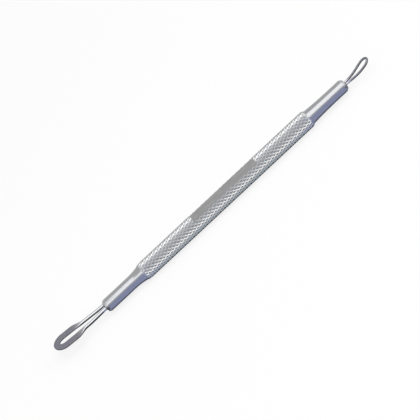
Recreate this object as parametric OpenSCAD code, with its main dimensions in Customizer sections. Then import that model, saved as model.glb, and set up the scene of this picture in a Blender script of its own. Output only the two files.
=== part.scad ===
// Double-ended blackhead extractor. A slim turned bar with a diamond-knurled grip and one milled flat
// carries a pressed loop of wire at one end and a fine wire loop at the other.
// Both loops are hairpins: their two legs go into a blind bore in the end of the bar, where braze
// holds them. The tool lies along X on its knurled grip, with the small loop toward +X and the flat up.
// The origin is on the surface that it lies on, under the middle of its whole length.

/* [Handle] */
// Length of the turned bar, from one end face to the other
handle_len = 92; // [80:1:120]
// Diameter of the smooth necks
neck_d = 4; // [3.8:0.1:4.4]
// Length of each smooth neck, from its end face to the knurl
neck_len = 14; // [11:0.5:20]
// Diameter of the large-loop neck where it meets the knurl
large_shoulder_d = 4.88; // [4.5:0.01:4.9]
// Length of the curved rise to that diameter
large_shoulder_len = 4.2; // [2:0.1:8]
// Diameter of the small-loop neck where it meets the knurl
small_shoulder_d = 4.62; // [4.5:0.01:4.8]
// Length of the curved rise to that diameter
small_shoulder_len = 9; // [2:0.1:9.5]
// Length of the chamfer on the large-loop end of the bar
large_chamfer_len = 0.65; // [0.2:0.05:1]
// How far that chamfer comes in from the neck's side
large_chamfer_in = 0.28; // [0.1:0.02:0.34]
// Length of the chamfer on the small-loop end of the bar
small_chamfer_len = 0.85; // [0.2:0.05:1]
// How far that chamfer comes in from the neck's side
small_chamfer_in = 0.5; // [0.1:0.02:0.6]

/* [Knurl] */
// Diameter over the crests of the diamonds
crest_d = 5.5; // [5.4:0.1:6.5]
// Depth of the grooves between the diamonds
knurl_depth = 0.25; // [0.1:0.01:0.25]
// Number of grooves that start round the bar in each direction
knurl_starts = 17; // [15:1:20]
// Distance along the bar from one diamond to the next
knurl_pitch = 1.68; // [1.4:0.02:2.4]
// Length over which the grip rounds down to the large-loop neck
knurl_round_len = 2; // [1:0.1:4]

/* [Milled flat] */
// Length of the flat
flat_len = 24; // [10:1:30]
// Depth of the flat below the crests
flat_depth = 0.74; // [0.4:0.02:0.9]
// Distance from the middle of the bar to the middle of the flat, toward the small loop
flat_shift = 0.5; // [-4:0.1:4]

/* [Large loop] */
// Diameter of the wire
large_wire_d = 1.05; // [0.95:0.01:1.1]
// Distance from the bar's end face to the tip of the loop
large_reach = 18.4; // [16:0.1:24]
// Distance between the two legs' centres in the bore
large_leg_pitch = 1.72; // [1.6:0.01:1.9]
// Height of the legs above the middle of the bore
large_leg_rise = 0.34; // [0:0.02:0.36]
// Width of the slot between the pressed sides
large_slot_w = 1.52; // [1.4:0.02:2.4]
// Width of the pressed band along the sides
large_band_w = 2.28; // [1.6:0.02:2.4]
// Width of the pressed band at the tip
large_tip_w = 1.96; // [1.7:0.02:2.4]
// Thickness of the pressed band
large_band_t = 0.3; // [0.25:0.01:0.5]
// Length of the curved nose along the band's middle line
large_nose_len = 2.6; // [1.8:0.1:3]
// Where the pressed band starts, from the bar's end face
press_start = 7.6; // [4:0.1:8]
// Length over which the round wire turns into the band
press_run = 4; // [3:0.1:7]
// Where the slot reaches its full width, from the bar's end face
large_spread_len = 8; // [6:0.1:11]
// Where the loop starts to bend up, from the bar's end face
large_bend_start = 0.4; // [0.4:0.1:3]
// Length of wire over which it bends
large_bend_len = 8; // [3:0.1:9]
// Angle to which it bends up
large_bend_angle = 5.4; // [0:0.1:15]

/* [Small loop] */
// Diameter of the wire
small_wire_d = 0.7; // [0.5:0.01:0.8]
// Distance from the bar's end face to the tip of the loop
small_reach = 9.5; // [8.8:0.1:14]
// Distance between the two legs' centres in the bore
small_leg_pitch = 0.98; // [0.95:0.01:1.6]
// Height of the legs above the middle of the bore
small_leg_rise = 0.04; // [0:0.02:0.3]
// Width across the loop, outside to outside
small_width = 3.22; // [2.8:0.02:4]
// Length of the curved nose along the wire's middle line
small_nose_len = 1.9; // [1.7:0.1:3.2]
// Where the loop starts to bend up, from the bar's end face
small_bend_start = 1.8; // [0.5:0.1:3]
// Length of wire over which it bends
small_bend_len = 4; // [3:0.1:5]
// Angle to which it bends up
small_bend_angle = 15.8; // [0:0.1:45]

/* [Fastening] */
// Depth of the blind bores
bore_depth = 6; // [4:0.5:9]
// Braze between a leg and the wall of the bore
braze_wall = 0.12; // [0.1:0.01:0.14]
// Height of the braze where it stands out of the bore
braze_rise = 0.15; // [0.1:0.05:0.3]
// Clearance between the braze and what it holds
joint_gap = 0.02; // [0.01:0.005:0.03]

/* [Hidden] */

crest_r = crest_d / 2;
valley_r = crest_r - knurl_depth;
neck_r = neck_d / 2;

// The tool lies on two rows of crests, which stand one half step to each side of the bottom.
ring_points = 2 * knurl_starts;
ring_step = 360 / ring_points;
axis_z = crest_r * cos(ring_step / 2);

handle_x = (large_reach - small_reach) / 2;
large_end_x = handle_x - handle_len / 2;
small_end_x = handle_x + handle_len / 2;
knurl_len = handle_len - 2 * neck_len;
knurl_x = large_end_x + neck_len;
knurl_rows = round(2 * knurl_len / knurl_pitch);
row_step = knurl_len / knurl_rows;

// The necks run this far into the knurled part, and cutters stand this far out of what they cut.
overlap = 0.4;

large_bore_d = 2 * norm([large_leg_pitch / 2, large_leg_rise]) + large_wire_d + 2 * braze_wall;
small_bore_d = 2 * norm([small_leg_pitch / 2, small_leg_rise]) + small_wire_d + 2 * braze_wall;

arc_steps = 10;
straight_angle = 0.001;
band_square = 3;
wire_sides = 14;
leg_rings = 24;
nose_rings = 26;
round_fn = 96;

steel = [0.72, 0.73, 0.76];
loop_steel = [0.78, 0.79, 0.81];
braze_metal = [0.74, 0.72, 0.66];

function clamp01(t) = min(1, max(0, t));
function smooth(t) = let(c = clamp01(t)) c * c * (3 - 2 * c);
function blend(a, b, t) = a + (b - a) * smooth(t);

// Radius of the grip's turned envelope: it rounds down to the large-loop neck, and the small-loop end
// is chamfered down to the groove's depth over the last row of diamonds.
function grip_r(x) = x < knurl_round_len
    ? crest_r - knurl_depth * pow(1 - x / knurl_round_len, 2)
    : x > knurl_len - row_step / 2 ? valley_r : crest_r;

// A diamond knurl is a grid of points in which crests and crossings of two grooves take turns.
function knurl_r(row, col) = min((row + col) % 2 == 0 ? valley_r : crest_r, grip_r(row * row_step));

function knurl_points() = [
    for (row = [0 : knurl_rows], col = [0 : ring_points - 1])
        let(a = (col + 0.5) * ring_step, r = knurl_r(row, col))
        [row * row_step, -r * sin(a), r * cos(a)]
];

function at(row, col) = row * ring_points + col % ring_points;

// Each cell of the grid is split along the groove, which runs from crossing to crossing.
function knurl_faces() = concat(
    [[for (col = [0 : ring_points - 1]) at(0, col)]],
    [
        for (row = [0 : knurl_rows - 1], col = [0 : ring_points - 1], half = [0, 1])
            let(
                a = at(row, col),
                b = at(row + 1, col),
                c = at(row + 1, col + 1),
                d = at(row, col + 1)
            )
            (row + col) % 2 == 0
                ? (half == 0 ? [a, b, c] : [a, c, d])
                : (half == 0 ? [a, b, d] : [b, c, d])
    ],
    [[for (col = [ring_points - 1 : -1 : 0]) at(knurl_rows, col)]]
);

module knurled_grip() {
    translate([knurl_x, 0, axis_z]) polyhedron(knurl_points(), knurl_faces(), convexity = 4);
}

// A neck along +Z, from the end face at 0 to the knurl: a chamfer, a straight length and a curved
// rise to the shoulder, which is an arc that starts along the neck.
module neck(shoulder_d, shoulder_len, chamfer_len, chamfer_in) {
    rise = shoulder_d / 2 - neck_r;
    arc_r = (pow(shoulder_len, 2) + pow(rise, 2)) / (2 * rise);
    arc_angle = asin(shoulder_len / arc_r);
    rotate_extrude($fn = round_fn)
        polygon(concat(
            [[0, 0], [neck_r - chamfer_in, 0], [neck_r, chamfer_len]],
            [
                for (i = [0 : arc_steps])
                    let(a = arc_angle * i / arc_steps)
                    [neck_r + arc_r * (1 - cos(a)), neck_len - shoulder_len + arc_r * sin(a)]
            ],
            [[shoulder_d / 2, neck_len + overlap], [0, neck_len + overlap]]
        ));
}

module at_large_end() {
    translate([large_end_x, 0, axis_z]) rotate([0, 0, 180]) children();
}

module at_small_end() {
    translate([small_end_x, 0, axis_z]) children();
}

// Cuts a bore into the end face at X = 0, from the outside.
module bore(bore_d) {
    translate([-bore_depth, 0, 0]) rotate([0, 90, 0])
        cylinder(h = bore_depth + overlap, d = bore_d, $fn = round_fn);
}

module flat_cutter() {
    translate([handle_x + flat_shift - flat_len / 2, -crest_r, axis_z + crest_r - flat_depth])
        cube([flat_len, crest_d, flat_depth + overlap]);
}

module handle() {
    color(steel) difference() {
        union() {
            knurled_grip();
            at_large_end() rotate([0, -90, 0])
                neck(large_shoulder_d, large_shoulder_len, large_chamfer_len, large_chamfer_in);
            at_small_end() rotate([0, -90, 0])
                neck(small_shoulder_d, small_shoulder_len, small_chamfer_len, small_chamfer_in);
        }
        flat_cutter();
        at_large_end() bore(large_bore_d);
        at_small_end() bore(small_bore_d);
    }
}

// Radius of the arc that turns a length of wire through an angle, where no angle is straight.
function bend_radius(bend_len, bend_angle) = bend_len * 180 / (PI * max(bend_angle, straight_angle));

// Turns a point of the flat hairpin, at u along it, w across it and h above it, up through an arc.
function bent(p, bend_start, bend_len, bend_angle) =
    let(
        turned = clamp01((p[0] - bend_start) / bend_len) * bend_angle,
        arc_r = bend_radius(bend_len, bend_angle),
        beyond = max(0, p[0] - bend_start - bend_len),
        x = min(p[0], bend_start) + arc_r * sin(turned) + beyond * cos(turned),
        z = arc_r * (1 - cos(turned)) + beyond * sin(turned)
    )
    [x - p[2] * sin(turned), p[1], z + p[2] * cos(turned)];

// Length of the flat hairpin whose bent tip reaches the given distance.
function flat_reach(reach, bend_start, bend_len, bend_angle) =
    bend_start + bend_len
        + (reach - bend_start - bend_radius(bend_len, bend_angle) * sin(bend_angle)) / cos(bend_angle);

// A ring of the wire's section: width across the path and thickness above it, rounder or squarer.
function ring(p, along, width, thick, square) = [
    for (i = [0 : wire_sides - 1])
        let(
            a = 360 * (i + 0.5) / wire_sides,
            power = 2 / (2 + square),
            across = width / 2 * sign(cos(a)) * pow(abs(cos(a)), power),
            above = thick / 2 * sign(sin(a)) * pow(abs(sin(a)), power)
        )
        [p[0] - along[1] * across, p[1] + along[0] * across, above]
];

// Sweeps rings given as [u, w, width, thickness, squareness] along the hairpin and bends the result.
module hairpin(stations, bend_start, bend_len, bend_angle) {
    last = len(stations) - 1;
    points = [
        for (i = [0 : last])
            let(
                before = stations[max(0, i - 1)],
                after = stations[min(last, i + 1)],
                run = [after[0] - before[0], after[1] - before[1]],
                s = stations[i]
            )
            for (p = ring(s, run / norm(run), s[2], s[3], s[4])) bent(p, bend_start, bend_len, bend_angle)
    ];
    faces = concat(
        [[for (k = [0 : wire_sides - 1]) k]],
        [
            for (i = [0 : last - 1], k = [0 : wire_sides - 1], half = [0, 1])
                let(
                    a = i * wire_sides + k,
                    d = i * wire_sides + (k + 1) % wire_sides,
                    b = a + wire_sides,
                    c = d + wire_sides
                )
                half == 0 ? [a, b, c] : [a, c, d]
        ],
        [[for (k = [wire_sides - 1 : -1 : 0]) last * wire_sides + k]]
    );
    polyhedron(points, faces, convexity = 4);
}

leg_start = joint_gap - bore_depth;

module large_loop() {
    nose_u = flat_reach(large_reach, large_bend_start, large_bend_len, large_bend_angle) - large_tip_w / 2
        - large_nose_len;
    side_w = (large_slot_w + large_band_w) / 2;
    mouth_gap = large_leg_pitch - large_wire_d;
    leg = [
        for (i = [0 : leg_rings])
            let(
                u = i == 0 ? leg_start : nose_u * (i - 1) / leg_rings,
                pressed = smooth((u - press_start) / press_run),
                width = large_wire_d + (large_band_w - large_wire_d) * pressed,
                gap = blend(mouth_gap, large_slot_w, u / large_spread_len),
                thick = large_wire_d + (large_band_t - large_wire_d) * pressed
            )
            [u, (gap + width) / 2, width, thick, band_square * pressed]
    ];
    nose = [
        for (i = [0 : nose_rings])
            let(a = 180 * i / nose_rings)
            [
                nose_u + large_nose_len * sin(a),
                side_w * cos(a),
                large_band_w + (large_tip_w - large_band_w) * pow(sin(a), 2),
                large_band_t,
                band_square
            ]
    ];
    color(loop_steel) at_large_end() translate([0, 0, large_leg_rise])
        hairpin(concat(leg, nose, mirrored(leg)), large_bend_start, large_bend_len, large_bend_angle);
}

// The other leg of a hairpin: the same stations on the far side, walked back into the bore.
function mirrored(leg) = [
    for (i = [len(leg) - 1 : -1 : 0])
        let(s = leg[i])
        [s[0], -s[1], s[2], s[3], s[4]]
];

module small_loop() {
    nose_u = flat_reach(small_reach, small_bend_start, small_bend_len, small_bend_angle) - small_wire_d / 2
        - small_nose_len;
    side_w = (small_width - small_wire_d) / 2;
    leg = [
        for (i = [0 : leg_rings])
            let(u = i == 0 ? leg_start : nose_u * (i - 1) / leg_rings)
            [u, blend(small_leg_pitch / 2, side_w, u / nose_u), small_wire_d, small_wire_d, 0]
    ];
    nose = [
        for (i = [0 : nose_rings])
            let(a = 180 * i / nose_rings)
            [nose_u + small_nose_len * sin(a), side_w * cos(a), small_wire_d, small_wire_d, 0]
    ];
    color(loop_steel) at_small_end() translate([0, 0, small_leg_rise])
        hairpin(concat(leg, nose, mirrored(leg)), small_bend_start, small_bend_len, small_bend_angle);
}

// Braze fills the bore round the two legs and stands out of its mouth as a low crown.
module braze(bore_d, leg_pitch, leg_rise, wire_d) {
    r = bore_d / 2 - joint_gap;
    difference() {
        rotate([0, 90, 0]) rotate_extrude($fn = round_fn)
            polygon(concat(
                [[0, leg_start], [r, leg_start]],
                [
                    for (i = [0 : arc_steps / 2])
                        let(a = 90 * i / (arc_steps / 2))
                        [r * cos(a), braze_rise * sin(a)]
                ]
            ));
        for (side = [-1, 1])
            translate([leg_start - overlap, side * leg_pitch / 2, leg_rise]) rotate([0, 90, 0])
                cylinder(h = bore_depth + 2 * overlap, d = wire_d + 2 * joint_gap, $fn = round_fn);
    }
}

module large_loop_braze() {
    color(braze_metal) at_large_end() braze(large_bore_d, large_leg_pitch, large_leg_rise, large_wire_d);
}

module small_loop_braze() {
    color(braze_metal) at_small_end() braze(small_bore_d, small_leg_pitch, small_leg_rise, small_wire_d);
}

handle();
large_loop();
large_loop_braze();
small_loop();
small_loop_braze();
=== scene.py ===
"""The looks of a double-ended blackhead extractor: a turned and knurled steel bar, a wire loop at each end.

All sizes are in metres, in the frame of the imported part: the tool lies along X on its knurled grip, with the
small loop toward +X and the milled flat up.
"""

import math

import bmesh
import bpy
from mathutils import Matrix, Vector


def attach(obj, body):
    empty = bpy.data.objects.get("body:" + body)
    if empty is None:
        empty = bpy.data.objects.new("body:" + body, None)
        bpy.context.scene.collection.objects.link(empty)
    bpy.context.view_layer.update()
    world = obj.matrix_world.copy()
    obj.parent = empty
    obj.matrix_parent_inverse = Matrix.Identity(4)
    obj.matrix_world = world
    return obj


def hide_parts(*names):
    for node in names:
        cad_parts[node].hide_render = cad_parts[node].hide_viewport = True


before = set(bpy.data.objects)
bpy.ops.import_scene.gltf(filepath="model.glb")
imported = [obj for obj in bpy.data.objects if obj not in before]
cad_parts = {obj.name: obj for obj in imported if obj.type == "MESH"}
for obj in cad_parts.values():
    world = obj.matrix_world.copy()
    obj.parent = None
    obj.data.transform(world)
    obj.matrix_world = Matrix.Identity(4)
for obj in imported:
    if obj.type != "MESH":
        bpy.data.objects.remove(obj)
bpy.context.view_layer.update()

MM = 0.001

# The camera.
# A long lens looks down on the middle of the tool from its side, turned so that the tool runs from the lower
# left to the upper right. The tool lies on two rows of the crests of its knurl, which set its axis' height.
crest_r = 2.75 * MM
knurl_columns = 34
axis_z = crest_r * math.cos(math.pi / knurl_columns)
view_elevation = math.radians(41)
view_roll = math.radians(43)
lens = 200 * MM
sensor = 36 * MM
frame_width = 118.18 * MM
aim_x = -1.55 * MM
aim_drop = 0.05 * MM
aim = Vector((aim_x, 0, axis_z - aim_drop))

camera_data = bpy.data.cameras.new("camera")
camera_data.lens = lens / MM
camera_data.sensor_width = sensor / MM
camera_data.clip_start = 0.01
camera_data.clip_end = 10
camera = bpy.data.objects.new("camera", camera_data)
bpy.context.scene.collection.objects.link(camera)
camera_distance = frame_width * lens / sensor
toward_camera = Vector((0, -math.cos(view_elevation), math.sin(view_elevation)))
camera.matrix_world = (
    Matrix.Translation(aim + toward_camera * camera_distance)
    @ Matrix.Rotation(math.pi / 2 - view_elevation, 4, "X")
    @ Matrix.Rotation(-view_roll, 4, "Z")
)
bpy.context.scene.camera = camera
bpy.context.scene.view_settings.view_transform = "Standard"

# The light.
# A wide softbox in two parts hangs over the tool in a white room. The upper part reaches less far toward the
# large loop, so it picks out one family of the knurl's grooves. Steel mirrors what lies round it, so cards
# stand low in front of the tool: pale ones by the grip, blue by the necks, and dark by the loops. Darker
# strips lie flat on the table under and by the grip and the necks. They are a painted shadow, which stands in
# for the tool's contact shadow where the steel mirrors the table.
softbox_distance = 0.5
softbox_glow = 1.5


def add(tree, kind, inputs=None, **settings):
    """Adds a node with its settings. Inputs maps a socket's name or number to a value or an output."""
    made = tree.nodes.new(kind)
    for name, value in settings.items():
        setattr(made, name, value)
    for socket, value in (inputs or {}).items():
        if isinstance(value, bpy.types.NodeSocket):
            tree.links.new(value, made.inputs[socket])
        else:
            made.inputs[socket].default_value = value
    return made


def linear(code):
    """The linear colour of an sRGB hex code."""
    parts = [int(code[i : i + 2], 16) / 255 for i in (1, 3, 5)]
    return [p / 12.92 if p <= 0.04045 else ((p + 0.055) / 1.055) ** 2.4 for p in parts] + [1]


def softbox(name, low, high, low_x, high_x):
    """A soft lamp that hangs over the tool from a low to a high angle above the table, in degrees."""
    middle = math.radians(high + low) / 2
    lamp = bpy.data.lights.new(name, "AREA")
    lamp.shape = "RECTANGLE"
    lamp.size = high_x - low_x
    lamp.size_y = 2 * softbox_distance * math.tan(math.radians(high - low) / 2)
    lamp.energy = math.pi * softbox_glow * lamp.size * lamp.size_y
    made = bpy.data.objects.new(name, lamp)
    bpy.context.scene.collection.objects.link(made)
    hung = Vector((0, -math.cos(middle), math.sin(middle))) * softbox_distance
    hung.x = (low_x + high_x) / 2
    made.matrix_world = Matrix.Translation(aim + hung) @ Matrix.Rotation(math.pi / 2 - middle, 4, "X")


softbox("front_softbox", low=45, high=68, low_x=-1, high_x=1)
softbox("top_softbox", low=68, high=104, low_x=-0.12, high_x=1)

# The cards' stretches along the tool, their near and far sides and their heights, all in millimetres. Each
# lies along the table and is then bent up, and only steel sees it.
large_loop_run = (-64, -42.8)
large_neck_run = (-42.8, -27.5)
grip_run = (-27.5, 36.5)
small_neck_run = (36.5, 53.2)
small_loop_run = (53.2, 64)
card_lift = 0.05
for name, tone, run, near_y, far_y, height in [
    ("large_loop_flag", "#48484E", large_loop_run, 4, -10, 6.7),
    ("large_neck_card", "#D0D8FF", large_neck_run, -3, -10, 8),
    # painted shadow: this strip on the table by the large neck stands in for its contact shadow, as the steel
    # mirrors it
    ("large_neck_shadow_strip", "#7A8298", large_neck_run, -1.2, -3, 0.1),
    ("grip_card", "#DCE6F0", grip_run, -4.1, -10, 5.4),
    # painted shadow: these strips under and by the grip stand in for its contact shadow and the shadow's
    # softer edge, as the steel mirrors them
    ("grip_painted_shadow", "#1E2024", grip_run, 3, -2.9, 0.1),
    ("grip_shadow_edge", "#5C6266", grip_run, -2.9, -4.1, 0.1),
    ("small_neck_card", "#D0D8FF", small_neck_run, -3, -10, 8),
    # painted shadow: this strip on the table by the small neck stands in for its contact shadow, as the steel
    # mirrors it
    ("small_neck_shadow_strip", "#7A8298", small_neck_run, -1.2, -3, 0.1),
    ("small_loop_flag", "#606068", small_loop_run, 4, -10, 6.7),
]:
    paint = bpy.data.materials.new(name)
    paint.use_nodes = True
    paint.node_tree.nodes.clear()
    glow = add(paint.node_tree, "ShaderNodeEmission", {"Color": linear(tone), "Strength": 1})
    add(paint.node_tree, "ShaderNodeOutputMaterial", {"Surface": glow.outputs[0]})
    side = [(near_y, card_lift), (far_y, card_lift), (far_y, height)]
    points = [(x * MM, y * MM, z * MM) for x in run for y, z in side]
    card_mesh = bpy.data.meshes.new(name)
    card_mesh.from_pydata(points, [], [(0, 1, 4, 3), (1, 2, 5, 4)])
    card_mesh.materials.append(paint)
    card = bpy.data.objects.new(name, card_mesh)
    bpy.context.scene.collection.objects.link(card)
    card.visible_camera = card.visible_diffuse = card.visible_shadow = card.visible_transmission = False

room_fill = 0.5
world = bpy.data.worlds.new("white_room")
bpy.context.scene.world = world
world.use_nodes = True
tree = world.node_tree
tree.nodes.clear()
path = add(tree, "ShaderNodeLightPath")
seen = path.outputs["Is Camera Ray"]
for ray in ("Is Glossy Ray", "Is Transmission Ray"):
    either = {0: seen, 1: path.outputs[ray]}
    seen = add(tree, "ShaderNodeMath", either, operation="ADD", use_clamp=True).outputs[0]
strength = add(tree, "ShaderNodeMapRange", {"Value": seen, "To Min": room_fill, "To Max": 1})
sky = add(tree, "ShaderNodeBackground", {"Color": linear("#FFFFFF"), "Strength": strength.outputs[0]})
add(tree, "ShaderNodeOutputWorld", {"Surface": sky.outputs[0]})

# The table top.
# A sheet of matt white card, lit from above, on which the tool throws a faint soft shadow. The camera sees it
# mostly as plain white.
table_half = 0.25
camera_white = 0.8
paper = bpy.data.materials.new("matt_white_card")
paper.use_nodes = True
tree = paper.node_tree
tree.nodes.clear()
matt = add(tree, "ShaderNodeBsdfDiffuse", {"Color": linear("#F8F8F8")})
white = add(tree, "ShaderNodeEmission", {"Color": linear("#FFFFFF"), "Strength": 1})
path = add(tree, "ShaderNodeLightPath")
share = add(tree, "ShaderNodeMath", {0: path.outputs["Is Camera Ray"], 1: camera_white}, operation="MULTIPLY")
sheet = add(tree, "ShaderNodeMixShader", {0: share.outputs[0], 1: matt.outputs[0], 2: white.outputs[0]})
add(tree, "ShaderNodeOutputMaterial", {"Surface": sheet.outputs[0]})
table_mesh = bpy.data.meshes.new("table_top")
corners = [(-1, -1), (1, -1), (1, 1), (-1, 1)]
table_mesh.from_pydata([(x * table_half, y * table_half, 0) for x, y in corners], [], [(0, 1, 2, 3)])
table_mesh.materials.append(paper)
table_top = bpy.data.objects.new("table_top", table_mesh)
bpy.context.scene.collection.objects.link(table_top)

# The handle.
# One bar of stainless steel, turned to two smooth necks, rolled with a diamond knurl and milled flat on top.
# Each end is chamfered and drilled for the legs of its loop.
handle_len = 92 * MM
handle_x = 4.45 * MM
large_end_x = handle_x - handle_len / 2
small_end_x = handle_x + handle_len / 2
neck_r = 2 * MM
neck_len = 14 * MM
neck_edge = 0.05 * MM
large_chamfer_len = 0.65 * MM
small_chamfer_len = 0.85 * MM
bore_depth = 6 * MM
large_bore_r = 1.57 * MM
small_bore_r = 0.947 * MM
knurl_len = handle_len - 2 * neck_len
knurl_x = large_end_x + neck_len
knurl_depth = 0.25 * MM
knurl_rows = 76
cell_points = 4
turn_points = knurl_columns * cell_points
valley_r = crest_r - knurl_depth
flat_shift = 0.5 * MM
flat_depth = 0.74 * MM
flat_x = handle_x + flat_shift
flat_half = 12 * MM
flat_z = axis_z + crest_r - flat_depth
merge_gap = 0.001 * MM

# The knurl is a flat grid with its relief, wrapped round the bar. A cell of the grid is half a diamond long
# and half a diamond wide.
knurl = bpy.data.node_groups.new("diamond_knurl", "GeometryNodeTree")
knurl.interface.new_socket("Geometry", in_out="INPUT", socket_type="NodeSocketGeometry")
for name, kind in [
    ("Length", "Float"),
    ("Rows", "Int"),
    ("Columns", "Int"),
    ("Points in a Cell", "Int"),
    ("Crest Radius", "Float"),
    ("Depth", "Float"),
    ("Steepness", "Float"),
    ("Rounded Length", "Float"),
    ("Chamfer Length", "Float"),
    ("Steel", "Material"),
]:
    knurl.interface.new_socket(name, in_out="INPUT", socket_type="NodeSocket" + kind)
knurl.interface.new_socket("Geometry", in_out="OUTPUT", socket_type="NodeSocketGeometry")

given = add(knurl, "NodeGroupInput").outputs
wanted = {"Size X": given["Length"], "Size Y": 1.0}
for socket, count in [("Vertices X", given["Rows"]), ("Vertices Y", given["Columns"])]:
    cells = {0: count, 1: given["Points in a Cell"], 2: 1.0}
    wanted[socket] = add(knurl, "ShaderNodeMath", cells, operation="MULTIPLY_ADD").outputs[0]
grid = add(knurl, "GeometryNodeMeshGrid", wanted).outputs["Mesh"]
spot = add(knurl, "ShaderNodeSeparateXYZ", {0: add(knurl, "GeometryNodeInputPosition").outputs[0]}).outputs
known = {socket.name: socket for socket in given}
known.update({"grid x": spot["X"], "grid y": spot["Y"]})
for result, operation, *values in [
    ("along", "MULTIPLY_ADD", "Length", 0.5, "grid x"),
    ("turns", "ADD", "grid y", 0.5),
    ("part way", "DIVIDE", "along", "Length"),
    ("row", "MULTIPLY", "part way", "Rows"),
    ("column", "MULTIPLY_ADD", "turns", "Columns", -0.5),
    # Each family of grooves is a zigzag across the grid, and the lower of the two makes pyramids. A steepness
    # of 2 would bring them to a point, and a greater one cuts their tips off flat.
    ("row + column", "ADD", "row", "column"),
    ("first phase", "MULTIPLY", "row + column", 0.5),
    ("first grooves", "PINGPONG", "first phase", 0.5),
    ("row - column", "SUBTRACT", "row", "column"),
    ("second phase", "MULTIPLY", "row - column", 0.5),
    ("second grooves", "PINGPONG", "second phase", 0.5),
    ("pyramids", "MINIMUM", "first grooves", "second grooves"),
    ("tall pyramids", "MULTIPLY", "pyramids", "Steepness"),
    ("cut pyramids", "MINIMUM", "tall pyramids", 1.0),
    ("valley radius", "SUBTRACT", "Crest Radius", "Depth"),
    ("relief", "MULTIPLY_ADD", "cut pyramids", "Depth", "valley radius"),
    # The grip is rounded down at the large loop's end and chamfered at the other.
    ("past start", "DIVIDE", "along", "Rounded Length"),
    ("to round", "SUBTRACT", 1.0, "past start"),
    ("still to round", "MAXIMUM", "to round", 0.0),
    ("rounding", "POWER", "still to round", 2.0),
    ("to end", "SUBTRACT", "Length", "along"),
    ("before end", "DIVIDE", "to end", "Chamfer Length"),
    ("to chamfer", "SUBTRACT", 1.0, "before end"),
    ("chamfering", "MAXIMUM", "to chamfer", 0.0),
    ("cut", "ADD", "rounding", "chamfering"),
    ("cut depth", "MULTIPLY", "cut", "Depth"),
    ("envelope", "SUBTRACT", "Crest Radius", "cut depth"),
    ("radius", "MINIMUM", "relief", "envelope"),
    ("angle", "MULTIPLY", "turns", math.tau),
    ("sine", "SINE", "angle"),
    ("cosine", "COSINE", "angle"),
    ("sideways", "MULTIPLY", "radius", "sine"),
    ("round y", "MULTIPLY", "sideways", -1.0),
    ("round z", "MULTIPLY", "radius", "cosine"),
]:
    taken = {i: known[value] if isinstance(value, str) else value for i, value in enumerate(values)}
    known[result] = add(knurl, "ShaderNodeMath", taken, operation=operation).outputs[0]
wrapped = {"X": known["along"], "Y": known["round y"], "Z": known["round z"]}
around = add(knurl, "ShaderNodeCombineXYZ", wrapped).outputs[0]
rolled = add(knurl, "GeometryNodeSetPosition", {"Geometry": grid, "Position": around}).outputs[0]
closed = add(knurl, "GeometryNodeMergeByDistance", {"Geometry": rolled, "Distance": merge_gap}).outputs[0]
real = add(knurl, "GeometryNodeRealizeInstances", {"Geometry": closed}).outputs[0]
coated = add(knurl, "GeometryNodeSetMaterial", {"Geometry": real, "Material": given["Steel"]}).outputs[0]
add(knurl, "NodeGroupOutput", {0: coated})


def metal(name, **looks):
    """A metal finish: its material and tree, its shader with any fixed looks, and the place on the piece."""
    made = bpy.data.materials.new(name)
    made.use_nodes = True
    tree = made.node_tree
    tree.nodes.clear()
    shader = add(tree, "ShaderNodeBsdfPrincipled", {"Metallic": 1, **looks})
    add(tree, "ShaderNodeOutputMaterial", {"Surface": shader.outputs[0]})
    place = add(tree, "ShaderNodeTexCoord").outputs["Object"]
    return made, tree, shader, place


def every(*spacings):
    """The scale of a pattern that comes round every so many millimetres along x, y and z."""
    return [1 / (spacing * MM) for spacing in spacings]


# Stainless steel, fine turned and left satin: a soft mirror with faint rings round it and patches of a
# millimetre or so. Real tool marks are 0.05 mm apart, and they are drawn three times as coarse to show.
turned, tree, shader, place = metal("fine_turned_stainless_steel")
rings_place = add(tree, "ShaderNodeMapping", {"Vector": place, "Scale": every(0.15, 4, 4)}).outputs[0]
rings = add(tree, "ShaderNodeTexNoise", {"Vector": rings_place, "Scale": 1, "Detail": 2}).outputs["Fac"]
patches_place = add(tree, "ShaderNodeMapping", {"Vector": place, "Scale": every(1.5, 0.8, 0.8)}).outputs[0]
patches = add(tree, "ShaderNodeTexNoise", {"Vector": patches_place, "Scale": 1, "Detail": 2}).outputs["Fac"]
tone = add(
    tree,
    "ShaderNodeMix",
    {"Factor": patches, 6: linear("#98999B"), 7: linear("#A0A1A3")},
    data_type="RGBA",
)
tree.links.new(tone.outputs[2], shader.inputs["Base Color"])
rough = add(tree, "ShaderNodeMapRange", {"Value": rings, "To Min": 0.14, "To Max": 0.26})
tree.links.new(rough.outputs[0], shader.inputs["Roughness"])
marks = add(tree, "ShaderNodeBump", {"Height": rings, "Strength": 0.15, "Distance": 0.01 * MM})
tree.links.new(marks.outputs[0], shader.inputs["Normal"])

# The same steel, rolled by a knurling tool: flat burnished tips that mirror what is in front, and pale matt
# flanks down to the grooves.
knurled, tree, shader, place = metal("knurled_stainless_steel")
offset = add(tree, "ShaderNodeVectorMath", {0: place, 1: (0, 0, axis_z)}, operation="SUBTRACT")
across = add(tree, "ShaderNodeVectorMath", {0: offset.outputs[0], 1: (0, 1, 1)}, operation="MULTIPLY")
from_axis = add(tree, "ShaderNodeVectorMath", {0: across.outputs[0]}, operation="LENGTH").outputs["Value"]
worn = add(tree, "ShaderNodeMapRange", {"Value": from_axis, "From Min": valley_r, "From Max": crest_r})
tone = add(
    tree,
    "ShaderNodeMix",
    {"Factor": worn.outputs[0], 6: linear("#CBCBCC"), 7: linear("#828386")},
    data_type="RGBA",
)
tree.links.new(tone.outputs[2], shader.inputs["Base Color"])
rough = add(tree, "ShaderNodeMapRange", {"Value": worn.outputs[0], "To Min": 0.3, "To Max": 0.18})
tree.links.new(rough.outputs[0], shader.inputs["Roughness"])

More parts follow.
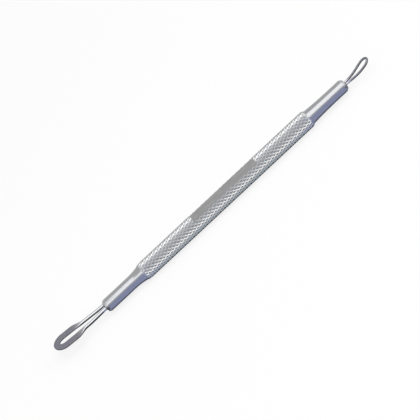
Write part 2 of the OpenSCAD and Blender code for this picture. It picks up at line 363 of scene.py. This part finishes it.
# The same steel, faced and chamfered at the ends with a coarser feed: paler and less of a mirror. The marks
# of the feed are 0.1 mm apart.
faced, tree, shader, place = metal("faced_stainless_steel", Roughness=0.42)
feed_place = add(tree, "ShaderNodeMapping", {"Vector": place, "Scale": every(0.1, 0.8, 0.8)}).outputs[0]
feed = add(tree, "ShaderNodeTexNoise", {"Vector": feed_place, "Scale": 1, "Detail": 2}).outputs["Fac"]
tone = add(
    tree,
    "ShaderNodeMix",
    {"Factor": feed, 6: linear("#A2A3A6"), 7: linear("#B2B3B6")},
    data_type="RGBA",
)
tree.links.new(tone.outputs[2], shader.inputs["Base Color"])

# The same steel, milled and ground flat: an even satin grey with faint clouds of 1 to 3 mm and fine scratches
# along the tool. Real scratches are 0.02 mm apart, and they are drawn five times as coarse to show.
ground, tree, shader, place = metal("ground_flat_stainless_steel", Roughness=0.3)
scratches_place = add(tree, "ShaderNodeMapping", {"Vector": place, "Scale": every(3, 0.1, 0.1)}).outputs[0]
scratched = {"Vector": scratches_place, "Scale": 1, "Detail": 2}
scratches = add(tree, "ShaderNodeTexNoise", scratched).outputs["Fac"]
clouds_place = add(tree, "ShaderNodeMapping", {"Vector": place, "Scale": every(3, 1, 1)}).outputs[0]
clouds = add(tree, "ShaderNodeTexNoise", {"Vector": clouds_place, "Scale": 1, "Detail": 3}).outputs["Fac"]
mottled = add(tree, "ShaderNodeMath", {0: scratches, 1: clouds}, operation="ADD").outputs[0]
shade = add(tree, "ShaderNodeMapRange", {"Value": mottled, "From Min": 0.7, "From Max": 1.3}).outputs[0]
tone = add(
    tree,
    "ShaderNodeMix",
    {"Factor": shade, 6: linear("#8D8D8E"), 7: linear("#A0A0A1")},
    data_type="RGBA",
)
tree.links.new(tone.outputs[2], shader.inputs["Base Color"])
marks = add(tree, "ShaderNodeBump", {"Height": scratches, "Strength": 0.2, "Distance": 0.01 * MM})
tree.links.new(marks.outputs[0], shader.inputs["Normal"])


def solid(name, mesh, *finishes):
    """An object for a finished mesh, with its materials."""
    mesh.name = name
    mesh.materials.clear()
    for finish in finishes:
        mesh.materials.append(finish)
    made = bpy.data.objects.new(name, mesh)
    bpy.context.scene.collection.objects.link(made)
    return made


def settled(source):
    """A plain mesh of an object with its modifiers done, in place of the object."""
    mesh = bpy.data.meshes.new_from_object(source.evaluated_get(bpy.context.evaluated_depsgraph_get()))
    bpy.data.objects.remove(source)
    return mesh


grip = solid("grip", bpy.data.meshes.new("grip"))
rolling = grip.modifiers.new("rolling", "NODES")
rolling.node_group = knurl
grip_sizes = {
    "Length": knurl_len,
    "Rows": knurl_rows,
    "Columns": knurl_columns,
    "Points in a Cell": cell_points,
    "Crest Radius": crest_r,
    "Depth": knurl_depth,
    "Steepness": 3.0,
    "Rounded Length": 2 * MM,
    "Chamfer Length": 0.8 * MM,
    "Steel": knurled,
}
for socket in knurl.interface.items_tree:
    if socket.item_type == "SOCKET" and socket.in_out == "INPUT" and socket.name in grip_sizes:
        rolling[socket.identifier] = grip_sizes[socket.name]
grip_mesh = settled(grip)

bar = bmesh.new()
bar.from_mesh(grip_mesh)
bmesh.ops.translate(bar, verts=bar.verts[:], vec=(knurl_x, 0, axis_z))
bpy.data.meshes.remove(grip_mesh)


def arc_rise(shoulder_r, shoulder_len, steps=12):
    """The curved rise from a neck to its shoulder: an arc that starts along the neck."""
    rise = shoulder_r - neck_r
    arc_r = (shoulder_len**2 + rise**2) / (2 * rise)
    sweep = math.asin(shoulder_len / arc_r)
    start = neck_len - shoulder_len
    turns = [sweep * i / steps for i in range(steps + 1)]
    return [(start + arc_r * math.sin(turn), neck_r + arc_r * (1 - math.cos(turn))) for turn in turns]


def add_neck(end_x, way, bore_r, chamfer_len, chamfer_in, shoulder_r, shoulder_len):
    """Adds the rings of a neck to the bar, from the floor of its bore out and back to the knurl. Its corners
    are broken by a small edge, and the chamfer runs softly into the neck. The way into the bar is 1 where
    that is toward the small loop, and -1 where it is toward the large one."""
    profile = [
        (bore_depth, 0),
        (bore_depth, bore_r),
        (neck_edge, bore_r),
        (0, bore_r + neck_edge),
        (0, neck_r - chamfer_in - neck_edge),
        (neck_edge, neck_r - chamfer_in),
        (chamfer_len, neck_r - 0.2 * neck_edge),
        (chamfer_len + 2 * neck_edge, neck_r),
        *arc_rise(shoulder_r, shoulder_len),
        (neck_len, valley_r),
    ]
    before = None
    for along, radius in profile:
        x = end_x + way * along
        ring = []
        for k in range(turn_points if radius else 1):
            turn = math.tau * k / turn_points
            ring.append(bar.verts.new((x, -radius * math.sin(turn), axis_z + radius * math.cos(turn))))
        for k in range(turn_points if before else 0):
            after = (k + 1) % turn_points
            if len(before) == 1:
                bar.faces.new((before[0], ring[k], ring[after]))
            else:
                bar.faces.new((before[k], ring[k], ring[after], before[after]))
        before = ring


add_neck(
    large_end_x,
    1,
    large_bore_r,
    large_chamfer_len,
    chamfer_in=0.28 * MM,
    shoulder_r=2.44 * MM,
    shoulder_len=4.2 * MM,
)
add_neck(
    small_end_x,
    -1,
    small_bore_r,
    small_chamfer_len,
    chamfer_in=0.5 * MM,
    shoulder_r=2.31 * MM,
    shoulder_len=9 * MM,
)
bmesh.ops.remove_doubles(bar, verts=bar.verts[:], dist=2 * merge_gap)
bmesh.ops.recalc_face_normals(bar, faces=bar.faces[:])
bmesh.ops.triangulate(bar, faces=bar.faces[:], quad_method="SHORT_EDGE")
bar_mesh = bpy.data.meshes.new("uncut")
bar.to_mesh(bar_mesh)
bar.free()

# The milling cutter takes a box off the top of the bar.
cut_height = 2 * MM
cutter = bmesh.new()
bmesh.ops.create_cube(cutter, size=1)
bmesh.ops.scale(cutter, verts=cutter.verts[:], vec=(2 * flat_half, 4 * crest_r, cut_height))
bmesh.ops.translate(cutter, verts=cutter.verts[:], vec=(flat_x, 0, flat_z + cut_height / 2))
cutter_mesh = bpy.data.meshes.new("flat_cutter")
cutter.to_mesh(cutter_mesh)
cutter.free()
flat_cutter = solid("flat_cutter", cutter_mesh)
uncut = solid("uncut", bar_mesh)
milling = uncut.modifiers.new("milling", "BOOLEAN")
milling.operation = "DIFFERENCE"
milling.solver = "EXACT"
milling.object = flat_cutter
handle_mesh = settled(uncut)
bpy.data.objects.remove(flat_cutter)

# The outermost strip of the grip, at each end, is past its crests and stays plain turned steel. The ends of
# the bar and the end walls of the milled cut are faced.
finishes = [turned, knurled, ground, faced]
handle = solid("handle_bar", handle_mesh, *finishes)
near = 0.01 * MM
plain_start = 0.5 * MM
plain_end = 0.3 * MM
for face in handle_mesh.polygons:
    x, y, z = face.center
    if abs(z - flat_z) < near and abs(x - flat_x) < flat_half + near:
        finish = ground
    elif z > flat_z and abs(abs(x - flat_x) - flat_half) < near:
        finish = faced
    elif knurl_x + plain_start < x < knurl_x + knurl_len - plain_end:
        finish = knurled
    elif x < large_end_x + large_chamfer_len or x > small_end_x - small_chamfer_len:
        finish = faced
    else:
        finish = turned
    face.material_index = finishes.index(finish)
handle_mesh.shade_smooth()
handle_mesh.set_sharp_from_angle(angle=math.radians(28))
for face in handle_mesh.polygons:
    face.use_smooth = face.material_index != finishes.index(ground)
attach(handle, "root")
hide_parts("handle")

# The large loop.
# A hairpin of bright stainless wire. Its sides and nose are pressed into a flat band, its round legs go into
# the bore of the large neck, and it is bent slightly up.
large_wire_d = 1.05 * MM
large_reach = 18.4 * MM
large_band_t = 0.3 * MM
large_band_w = 2.28 * MM
large_tip_w = 1.96 * MM
large_slot_w = 1.52 * MM
large_nose_len = 2.6 * MM
large_leg_pitch = 1.72 * MM
large_leg_rise = 0.34 * MM
large_spread_len = 8 * MM
large_press_start = 7.6 * MM
large_press_len = 4 * MM
large_bend = {"start": 0.4 * MM, "length": 8 * MM, "angle": math.radians(5.4)}
band_squareness = 3
band_wall_start = 0.7
band_wall_blend = 0.2
joint_gap = 0.02 * MM
leg_end = joint_gap - bore_depth
wire_sides = 32
leg_rings = 110
nose_rings = 90


def smooth(t):
    """A soft step from 0 to 1."""
    t = min(1, max(0, t))
    return t * t * (3 - 2 * t)


def bent(point, bend):
    """Turns a point of the flat hairpin, at u along it, w across it and h above it, up through an arc."""
    u, w, h = point
    angle = min(1, max(0, (u - bend["start"]) / bend["length"])) * bend["angle"]
    arc_r = bend["length"] / bend["angle"]
    beyond = max(0, u - bend["start"] - bend["length"])
    x = min(u, bend["start"]) + arc_r * math.sin(angle) + beyond * math.cos(angle)
    z = arc_r * (1 - math.cos(angle)) + beyond * math.sin(angle)
    return x - h * math.sin(angle), w, z + h * math.cos(angle)


def flat_reach(reach, bend):
    """Length of the flat hairpin whose bent tip reaches the given distance."""
    arc_r = bend["length"] / bend["angle"]
    left = reach - bend["start"] - arc_r * math.sin(bend["angle"])
    return bend["start"] + bend["length"] + left / math.cos(bend["angle"])


def hairpin(name, leg, nose, bend, end_x, way, rise):
    """Sweeps the wire's section along a leg, round the nose and back. A station is u, w, width, thickness,
    squareness and how far it is pressed. How far a point is pressed, and whether it is on the narrow side of
    the pressed band, which gets painted shade, are kept as attributes. The way out of the bar is 1 or -1,
    along X."""
    stations = leg + nose[1:-1] + [(u, -w, *section) for u, w, *section in reversed(leg)]
    points, pressed, walls = [], [], []
    for i, (u, w, width, thick, square, press) in enumerate(stations):
        before, after = stations[max(0, i - 1)], stations[min(len(stations) - 1, i + 1)]
        run = Vector((after[0] - before[0], after[1] - before[1])).normalized()
        power = 2 / (2 + square)
        for k in range(wire_sides):
            a = math.tau * (k + 0.5) / wire_sides
            c, s = math.cos(a), math.sin(a)
            across = width / 2 * math.copysign(abs(c) ** power, c)
            above = thick / 2 * math.copysign(abs(s) ** power, s)
            x, y, z = bent((u - run[1] * across, w + run[0] * across, above), bend)
            points.append((end_x + way * x, way * y, axis_z + rise + z))
            pressed.append(press)
            # the narrow sides of the pressed band, marked for painted shade
            walls.append(press * smooth((abs(c) - band_wall_start) / band_wall_blend))
    faces = [tuple(range(wire_sides)), tuple(range(len(points) - wire_sides, len(points)))]
    for i in range(len(stations) - 1):
        for k in range(wire_sides):
            a, d = i * wire_sides + k, i * wire_sides + (k + 1) % wire_sides
            faces.append((a, a + wire_sides, d + wire_sides, d))
    mesh = bpy.data.meshes.new(name)
    mesh.from_pydata(points, [], faces)
    for title, values in [("pressed", pressed), ("wall", walls)]:
        mesh.attributes.new(title, "FLOAT", "POINT").data.foreach_set("value", values)
    shape = bmesh.new()
    shape.from_mesh(mesh)
    bmesh.ops.recalc_face_normals(shape, faces=shape.faces[:])
    shape.to_mesh(mesh)
    shape.free()
    mesh.shade_smooth()
    mesh.set_sharp_from_angle(angle=math.radians(50))
    return mesh


# Stainless wire, cold drawn and bright. Where the press flattened it, the skin is duller, with a bluish bloom
# in patches of 0.6 to 0.9 mm. Its narrow sides are painted dark. This is a painted shade, which draws the dark
# lines along the band's edges.
wire, tree, shader, place = metal("bright_drawn_stainless_wire")
pressed = add(tree, "ShaderNodeAttribute", attribute_name="pressed").outputs["Fac"]
mottle_place = add(tree, "ShaderNodeMapping", {"Vector": place, "Scale": every(0.9, 0.6, 0.6)}).outputs[0]
mottle = add(tree, "ShaderNodeTexNoise", {"Vector": mottle_place, "Scale": 1, "Detail": 3}).outputs["Fac"]
wall = add(tree, "ShaderNodeAttribute", attribute_name="wall").outputs["Fac"]
band = add(
    tree,
    "ShaderNodeMix",
    {"Factor": mottle, 6: linear("#66687A"), 7: linear("#8C8A8C")},
    data_type="RGBA",
)
# painted shade: the narrow sides of the pressed band are darkened to draw the dark lines along its edges
edge_shaded = add(
    tree,
    "ShaderNodeMix",
    {"Factor": wall, 6: band.outputs[2], 7: linear("#2A2A2E")},
    data_type="RGBA",
)
tone = add(
    tree,
    "ShaderNodeMix",
    {"Factor": pressed, 6: linear("#ACADB0"), 7: edge_shaded.outputs[2]},
    data_type="RGBA",
)
tree.links.new(tone.outputs[2], shader.inputs["Base Color"])
rough = add(tree, "ShaderNodeMapRange", {"Value": pressed, "To Min": 0.14, "To Max": 0.3})
tree.links.new(rough.outputs[0], shader.inputs["Roughness"])
dents = add(tree, "ShaderNodeBump", {"Height": mottle, "Strength": 0.2, "Distance": 0.02 * MM})
tree.links.new(dents.outputs[0], shader.inputs["Normal"])

nose_u = flat_reach(large_reach, large_bend) - large_tip_w / 2 - large_nose_len
side_w = (large_slot_w + large_band_w) / 2
leg = []
for i in range(leg_rings + 1):
    u = leg_end if i == 0 else nose_u * (i - 1) / (leg_rings - 1)
    press = smooth((u - large_press_start) / large_press_len)
    width = large_wire_d + (large_band_w - large_wire_d) * press
    thick = large_wire_d + (large_band_t - large_wire_d) * press
    spread = smooth(u / large_spread_len)
    gap = (large_leg_pitch - large_wire_d) * (1 - spread) + large_slot_w * spread
    leg.append((u, (gap + width) / 2, width, thick, band_squareness * press, press))
nose = []
for i in range(nose_rings + 1):
    a = math.pi * i / nose_rings
    u, w = nose_u + large_nose_len * math.sin(a), side_w * math.cos(a)
    width = large_band_w + (large_tip_w - large_band_w) * math.sin(a) ** 2
    nose.append((u, w, width, large_band_t, band_squareness, 1))
large_loop_mesh = hairpin("large_wire_loop", leg, nose, large_bend, large_end_x, -1, large_leg_rise)
large_loop = solid("large_wire_loop", large_loop_mesh, wire)
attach(large_loop, "root")
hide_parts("large_loop")

# The small loop.
# A hairpin of stainless wire too, but finer and left round, bent up more, with its legs in the bore of the
# small neck.
small_wire_d = 0.7 * MM
small_reach = 9.5 * MM
small_width = 3.22 * MM
small_nose_len = 1.9 * MM
small_leg_pitch = 0.98 * MM
small_leg_rise = 0.04 * MM
small_bend = {"start": 1.8 * MM, "length": 4 * MM, "angle": math.radians(15.8)}
tin_full_x = small_end_x + 0.4 * MM
tin_end_x = small_end_x + 2 * MM

# The finer wire has a dull finish and is painted a dark grey. This is a painted shade for the dark
# surroundings it mirrors. It has streaks 0.2 mm apart along it. Its root, which the braze has tinned, is paler
# and brighter.
dull_shaded_wire, tree, shader, place = metal("dull_shaded_stainless_wire")
streaks_place = add(tree, "ShaderNodeMapping", {"Vector": place, "Scale": every(0.6, 0.2, 0.2)}).outputs[0]
streaks = add(tree, "ShaderNodeTexNoise", {"Vector": streaks_place, "Scale": 1, "Detail": 2}).outputs["Fac"]
# painted shade: the wire's dark greys stand in for the dark surroundings it mirrors
shaded_skin = add(
    tree,
    "ShaderNodeMix",
    {"Factor": streaks, 6: linear("#68696E"), 7: linear("#828388")},
    data_type="RGBA",
)
along = add(tree, "ShaderNodeSeparateXYZ", {0: place}).outputs["X"]
tin_run = {"Value": along, "From Min": tin_full_x, "From Max": tin_end_x, "To Min": 1, "To Max": 0}
tinned = add(tree, "ShaderNodeMapRange", tin_run).outputs[0]
tone = add(
    tree,
    "ShaderNodeMix",
    {"Factor": tinned, 6: shaded_skin.outputs[2], 7: linear("#B6B6BC")},
    data_type="RGBA",
)
tree.links.new(tone.outputs[2], shader.inputs["Base Color"])
rough = add(tree, "ShaderNodeMapRange", {"Value": tinned, "To Min": 0.4, "To Max": 0.2})
tree.links.new(rough.outputs[0], shader.inputs["Roughness"])

nose_u = flat_reach(small_reach, small_bend) - small_wire_d / 2 - small_nose_len
side_w = (small_width - small_wire_d) / 2
leg = []
for i in range(leg_rings + 1):
    u = leg_end if i == 0 else nose_u * (i - 1) / (leg_rings - 1)
    spread = smooth(u / nose_u)
    w = small_leg_pitch / 2 * (1 - spread) + side_w * spread
    leg.append((u, w, small_wire_d, small_wire_d, 0, 0))
nose = []
for i in range(nose_rings + 1):
    a = math.pi * i / nose_rings
    u, w = nose_u + small_nose_len * math.sin(a), side_w * math.cos(a)
    nose.append((u, w, small_wire_d, small_wire_d, 0, 0))
small_loop_mesh = hairpin("small_wire_loop", leg, nose, small_bend, small_end_x, 1, small_leg_rise)
small_loop = solid("small_wire_loop", small_loop_mesh, dull_shaded_wire)
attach(small_loop, "root")
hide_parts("small_loop")

# The braze.
# Silver braze fills each bore round the two legs. It stands out of the mouth as a low crown and climbs a
# little way up each leg.
braze_len = 5 * MM
braze_crown = 0.15 * MM
braze_climb = 0.15 * MM
braze_climb_run = 0.12 * MM
braze_rim_run = 0.1 * MM
braze_rings = 24
braze_spokes = 96

# Silver braze, cleaned back by brushing: a warm satin grey with ripples 0.3 mm apart from its setting.
silver, tree, shader, place = metal("silver_braze", Roughness=0.35)
ripples_place = add(tree, "ShaderNodeMapping", {"Vector": place, "Scale": every(0.3, 0.3, 0.3)}).outputs[0]
ripples = add(tree, "ShaderNodeTexNoise", {"Vector": ripples_place, "Scale": 1, "Detail": 3}).outputs["Fac"]
tone = add(
    tree,
    "ShaderNodeMix",
    {"Factor": ripples, 6: linear("#86847C"), 7: linear("#A3A19A")},
    data_type="RGBA",
)
tree.links.new(tone.outputs[2], shader.inputs["Base Color"])
marks = add(tree, "ShaderNodeBump", {"Height": ripples, "Strength": 0.3, "Distance": 0.02 * MM})
tree.links.new(marks.outputs[0], shader.inputs["Normal"])


def braze_fill(name, end_x, way, bore_r, leg_pitch, leg_rise, wire_d):
    """A plug of braze. Its face is a low crown that climbs each leg and meets the bore's mouth at its rim."""
    fill_r = bore_r - joint_gap
    turns = [math.tau * k / braze_spokes for k in range(braze_spokes)]
    shape = bmesh.new()
    rows = [[shape.verts.new((0, 0, 0))]]
    for i in range(1, braze_rings + 1):
        r = fill_r * i / braze_rings
        rows.append([shape.verts.new((0, r * math.sin(turn), r * math.cos(turn))) for turn in turns])
    floor = [shape.verts.new((-braze_len, v.co.y, v.co.z)) for v in rows[-1]]
    for row in rows:
        for v in row:
            r = min(fill_r, math.hypot(v.co.y, v.co.z))
            inside = min(1, (fill_r - r) / braze_rim_run)
            v.co.x = braze_crown * math.sqrt(1 - (r / fill_r) ** 2)
            for side in (-1, 1):
                gap = max(0, math.hypot(v.co.y - side * leg_pitch / 2, v.co.z - leg_rise) - wire_d / 2)
                v.co.x += braze_climb * math.exp(-gap / braze_climb_run) * inside
    for k in range(braze_spokes):
        after = (k + 1) % braze_spokes
        shape.faces.new((rows[0][0], rows[1][k], rows[1][after]))
        for inner, outer in zip(rows[1:], rows[2:] + [floor]):
            shape.faces.new((inner[k], outer[k], outer[after], inner[after]))
    shape.faces.new(floor)
    bmesh.ops.recalc_face_normals(shape, faces=shape.faces[:])
    bmesh.ops.scale(shape, verts=shape.verts[:], vec=(way, way, 1))
    bmesh.ops.translate(shape, verts=shape.verts[:], vec=(end_x, 0, axis_z))
    mesh = bpy.data.meshes.new(name)
    shape.to_mesh(mesh)
    shape.free()
    mesh.shade_smooth()
    mesh.set_sharp_from_angle(angle=math.radians(60))
    return mesh


large_fill = braze_fill(
    "large_braze_fill", large_end_x, -1, large_bore_r, large_leg_pitch, large_leg_rise, large_wire_d
)
large_braze = solid("large_braze_fill", large_fill, silver)
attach(large_braze, "root")
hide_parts("large_loop_braze")

small_fill = braze_fill(
    "small_braze_fill", small_end_x, 1, small_bore_r, small_leg_pitch, small_leg_rise, small_wire_d
)
small_braze = solid("small_braze_fill", small_fill, silver)
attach(small_braze, "root")
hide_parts("small_loop_braze")
